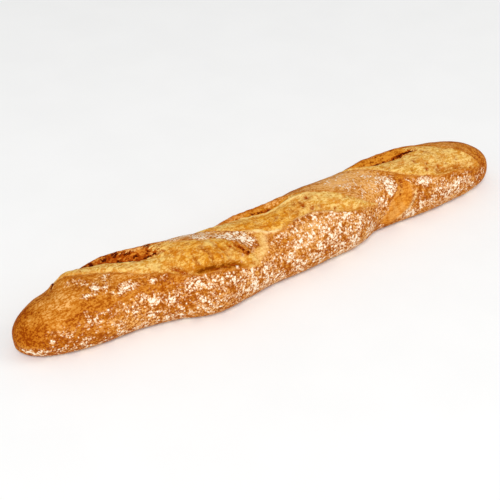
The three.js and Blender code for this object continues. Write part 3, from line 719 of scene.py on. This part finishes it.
# painted shade in the crumb's hollows
crumb = m.mix(m.times(hollow_shade_f, m.ramp(grit, 0.34, 0.66, 0.4, 1.0)), crumb, linear(156, 74, 0))
crumb = m.mix(m.times(m.ramp(m.noise(1.9, 2, 0.6, offset=11.0), 0.60, 0.68), 0.5), crumb, linear(170, 92, 8))
crumb = m.mix(m.times(m.ramp(m.noise(1.8, 1, 0.6, offset=13.0), 0.60, 0.70), 0.35), crumb, linear(250, 218, 146))
crumb = m.mix(m.times(edge_f, m.ramp(m.total((mottle, 0.5), (grit, 0.5)), 0.36, 0.62, 0.25, 0.95)), crumb, linear(196, 112, 20))
# the torn face under an ear, streaked along the loaf, its ends broken up; its reds and darks are partly baked colour
# and partly painted shade under the ear
seam = m.noise(3.4, 3, 0.65, vector=m.stretch(0.35, 1.0, 1.0), offset=15.0)
patch = m.noise(8.0, 2, 0.55, vector=m.stretch(0.5, 1.0, 1.0), offset=16.0)
flecks = m.math("SUBTRACT", m.total((seam, 0.32), (patch, 0.26), (grit, 0.42), (scorch_f, 0.06), (slot_char_and_shade_f, 0.12)), 0.085)
baked = m.ramp(scorch_f, 0.4, 1.0)
under_ear = m.mix(m.ramp(flecks, 0.42, 0.51), m.mix(baked, linear(216, 144, 44), linear(214, 134, 44)),
                  m.mix(baked, linear(184, 104, 10), linear(172, 82, 8)))
under_ear = m.mix(m.times(m.ramp(flecks, 0.50, 0.56), m.ramp(wall_f, 0.45, 0.85)), under_ear,
                  m.mix(baked, linear(124, 48, 0), linear(96, 12, 0)))
wall_on = m.ramp(m.math("ADD", wall_f, m.ramp(m.total((seam, 0.6), (grit, 0.4)), 0.34, 0.66, -0.35, 0.35)), 0.34, 0.56)
crumb = m.mix(wall_on, crumb, under_ear)
# painted shade along the furrow at a near lip
valley_shade = m.times(valley_f, m.ramp(m.total((mottle, 0.4), (grit, 0.6)), 0.38, 0.56, 0.45, 1.25))
crumb = m.mix(m.ramp(valley_shade, 0.05, 0.5), crumb, linear(184, 108, 16))
crumb = m.mix(m.ramp(valley_shade, 0.45, 1.0), crumb, linear(124, 56, 0))
# darkness in the tears, clefts, pits and under the bridge tip: partly scorching, partly painted shade
slot_char_and_shade_in = m.times(slot_char_and_shade_f, m.ramp(m.total((seam, 0.25), (mottle, 0.2), (grit, 0.55)), 0.42, 0.56, 0.25, 1.5))
crumb = m.mix(m.ramp(slot_char_and_shade_in, 0.08, 0.5), crumb, linear(166, 70, 4))
crumb = m.mix(m.ramp(slot_char_and_shade_in, 0.4, 1.05), crumb, linear(66, 7, 0))
skin = m.mix(m.ramp(slot_char_and_shade_in, 0.08, 0.5), skin, linear(150, 66, 4))
skin = m.mix(m.ramp(slot_char_and_shade_in, 0.4, 1.0), skin, linear(86, 16, 0))
rims = m.times(cream_f, m.ramp(m.total((mottle, 0.5), (grit, 0.5)), 0.40, 0.64, 1.0, 0.35), m.ramp(wall_on, 0.0, 0.5, 1.0, 0.0))
skin = m.mix(rims, skin, linear(248, 212, 150))
crumb = m.mix(rims, crumb, linear(250, 216, 138))

fray = m.math("ADD", m.ramp(mottle, 0.3, 0.7, -1.1, 1.1), m.ramp(grit, 0.3, 0.7, -0.6, 0.6))
is_torn = m.ramp(m.math("ADD", torn_f, fray), -0.20, 0.35)
colour = m.mix(is_torn, skin, crumb)

# flour: a thin veil with broken white islands on it
cluster = spread(m.noise(8.5, 3, 0.65, offset=7.0), 0.38, 0.62)
loose = m.noise(1.75, 2, 0.7, offset=8.0)
drag = m.noise(1.8, 2, 0.6, vector=m.stretch(0.45, 1.0, 1.0), offset=8.5)
grains = m.math("ADD", m.times(loose, m.math("SUBTRACT", 1.0, foot_f)), m.times(drag, foot_f))
dot_at, dot_random = m.cells(1.75)
dots = m.total((dot_random, 0.40), (dot_at, -0.42))
dense = m.math("SUBTRACT", m.total((flour_f, 0.85), (cluster, 0.60)), 0.36)
dense = m.math("MAXIMUM", m.math("MINIMUM", dense, 1.0), 0.0)
level = m.math("SUBTRACT", m.total((grains, 1.05), (dots, 0.50), (dense, 0.31)), FLOUR_LEVEL)
present = m.ramp(flour_f, 0.04, 0.25)
crust_only = m.math("SUBTRACT", 1.0, m.times(is_torn, m.ramp(flour_f, 0.5, 0.9, 1.0, 0.0)))
veil = m.times(m.ramp(level, -0.19, -0.02), m.ramp(dense, 0.0, 0.6, 0.42, 0.95), present)
gaps = m.times(m.ramp(grains, 0.52, 0.45), m.ramp(flour_f, 0.05, 0.45, 0.0, 0.92), m.ramp(brown_f, -0.9, -0.1, 0.3, 1.0))
islands = m.times(m.ramp(level, -0.006, 0.012), present)
colour = m.mix(m.times(gaps, crust_only), colour, linear(152, 74, 8))
colour = m.mix(m.times(veil, crust_only), colour, linear(234, 186, 140))
white = m.mix(m.ramp(level, 0.0, 0.08), linear(247, 218, 176), linear(254, 240, 216))
colour = m.mix(m.times(islands, crust_only), colour, white)

shader = m.tree.nodes.new("ShaderNodeBsdfPrincipled")
m.put(shader.inputs["Base Color"], colour)
m.put(shader.inputs["Roughness"], m.math("MAXIMUM", m.ramp(mottle, 0.3, 0.7, 0.52, 0.72), m.times(islands, 0.95)))
shader.inputs["Specular IOR Level"].default_value = 0.02
bumps = m.total((grit, 0.20), (mottle, 0.12), (m.times(islands, crust_only), 0.14), (m.times(fibre, is_torn), 0.30))
bump = m.tree.nodes.new("ShaderNodeBump")
bump.inputs["Strength"].default_value = 0.9
bump.inputs["Distance"].default_value = 0.0009
m.put(bump.inputs["Height"], bumps)
m.put(shader.inputs["Normal"], bump.outputs["Normal"])
m.tree.links.new(shader.outputs["BSDF"], m.out.inputs["Surface"])
mesh.materials.append(crust)

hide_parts("loaf")
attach(loaf, "root")

# ---------------------------------------------------------------- floor, light and camera
floor_mesh = bpy.data.meshes.new("floor")
floor_mesh.from_pydata([(-6, -6, 0), (6, -6, 0), (6, 6, 0), (-6, 6, 0)], [], [(0, 1, 2, 3)])
floor = bpy.data.objects.new("floor", floor_mesh)
bpy.context.scene.collection.objects.link(floor)
pale = bpy.data.materials.new("floor_pale")
f = Nodes(pale)
fb = f.tree.nodes.new("ShaderNodeBsdfPrincipled")
f.put(fb.inputs["Base Color"], f.mix(f.ramp(f.noise(60, 2, 0.5), 0.3, 0.7), (0.935, 0.935, 0.93, 1), (0.95, 0.95, 0.945, 1)))
fb.inputs["Roughness"].default_value = 0.9
fb.inputs["Specular IOR Level"].default_value = 0.1
f.tree.links.new(fb.outputs["BSDF"], f.out.inputs["Surface"])
floor_mesh.materials.append(pale)

world = bpy.data.worlds.new("studio")
bpy.context.scene.world = world
world.use_nodes = True
world.node_tree.nodes["Background"].inputs["Color"].default_value = (1, 1, 1, 1)
world.node_tree.nodes["Background"].inputs["Strength"].default_value = 0.50


def area_light(name, place, target, size, power):
    data = bpy.data.lights.new(name, "AREA")
    data.shape = "DISK"
    data.size = size
    data.energy = power
    o = bpy.data.objects.new(name, data)
    o.location = place
    o.rotation_euler = (Vector(target) - Vector(place)).to_track_quat("-Z", "Y").to_euler()
    bpy.context.scene.collection.objects.link(o)
    return o


area_light("key", (-1.6, -2.1, 2.6), (0, 0, 0.02), 1.5, 86)
area_light("fill", (2.6, -1.9, 2.3), (0, 0, 0.02), 2.4, 26)

view = bpy.context.scene.view_settings
view.view_transform = "Standard"
view.look = "None"
view.exposure = 0.0
view.gamma = 1.0

AZIMUTH, ELEVATION, DISTANCE, FOCAL_PX = -34.8, 35.0, 0.900, 1176.0
aim = Vector((-0.0268, (-2.6 + shift) * MM, 0.0192))
az, el = math.radians(AZIMUTH), math.radians(ELEVATION)
back = Vector((math.sin(az) * math.cos(el), -math.cos(az) * math.cos(el), math.sin(el)))
cam_data = bpy.data.cameras.new("camera")
cam_data.sensor_fit = "HORIZONTAL"
cam_data.sensor_width = 36.0
cam_data.lens = FOCAL_PX / 500 * 36.0
cam_data.clip_start = 0.01
camera = bpy.data.objects.new("camera", cam_data)
camera.location = aim + back * DISTANCE
camera.rotation_euler = (-back).to_track_quat("-Z", "Y").to_euler()
bpy.context.scene.collection.objects.link(camera)
bpy.context.scene.camera = camera
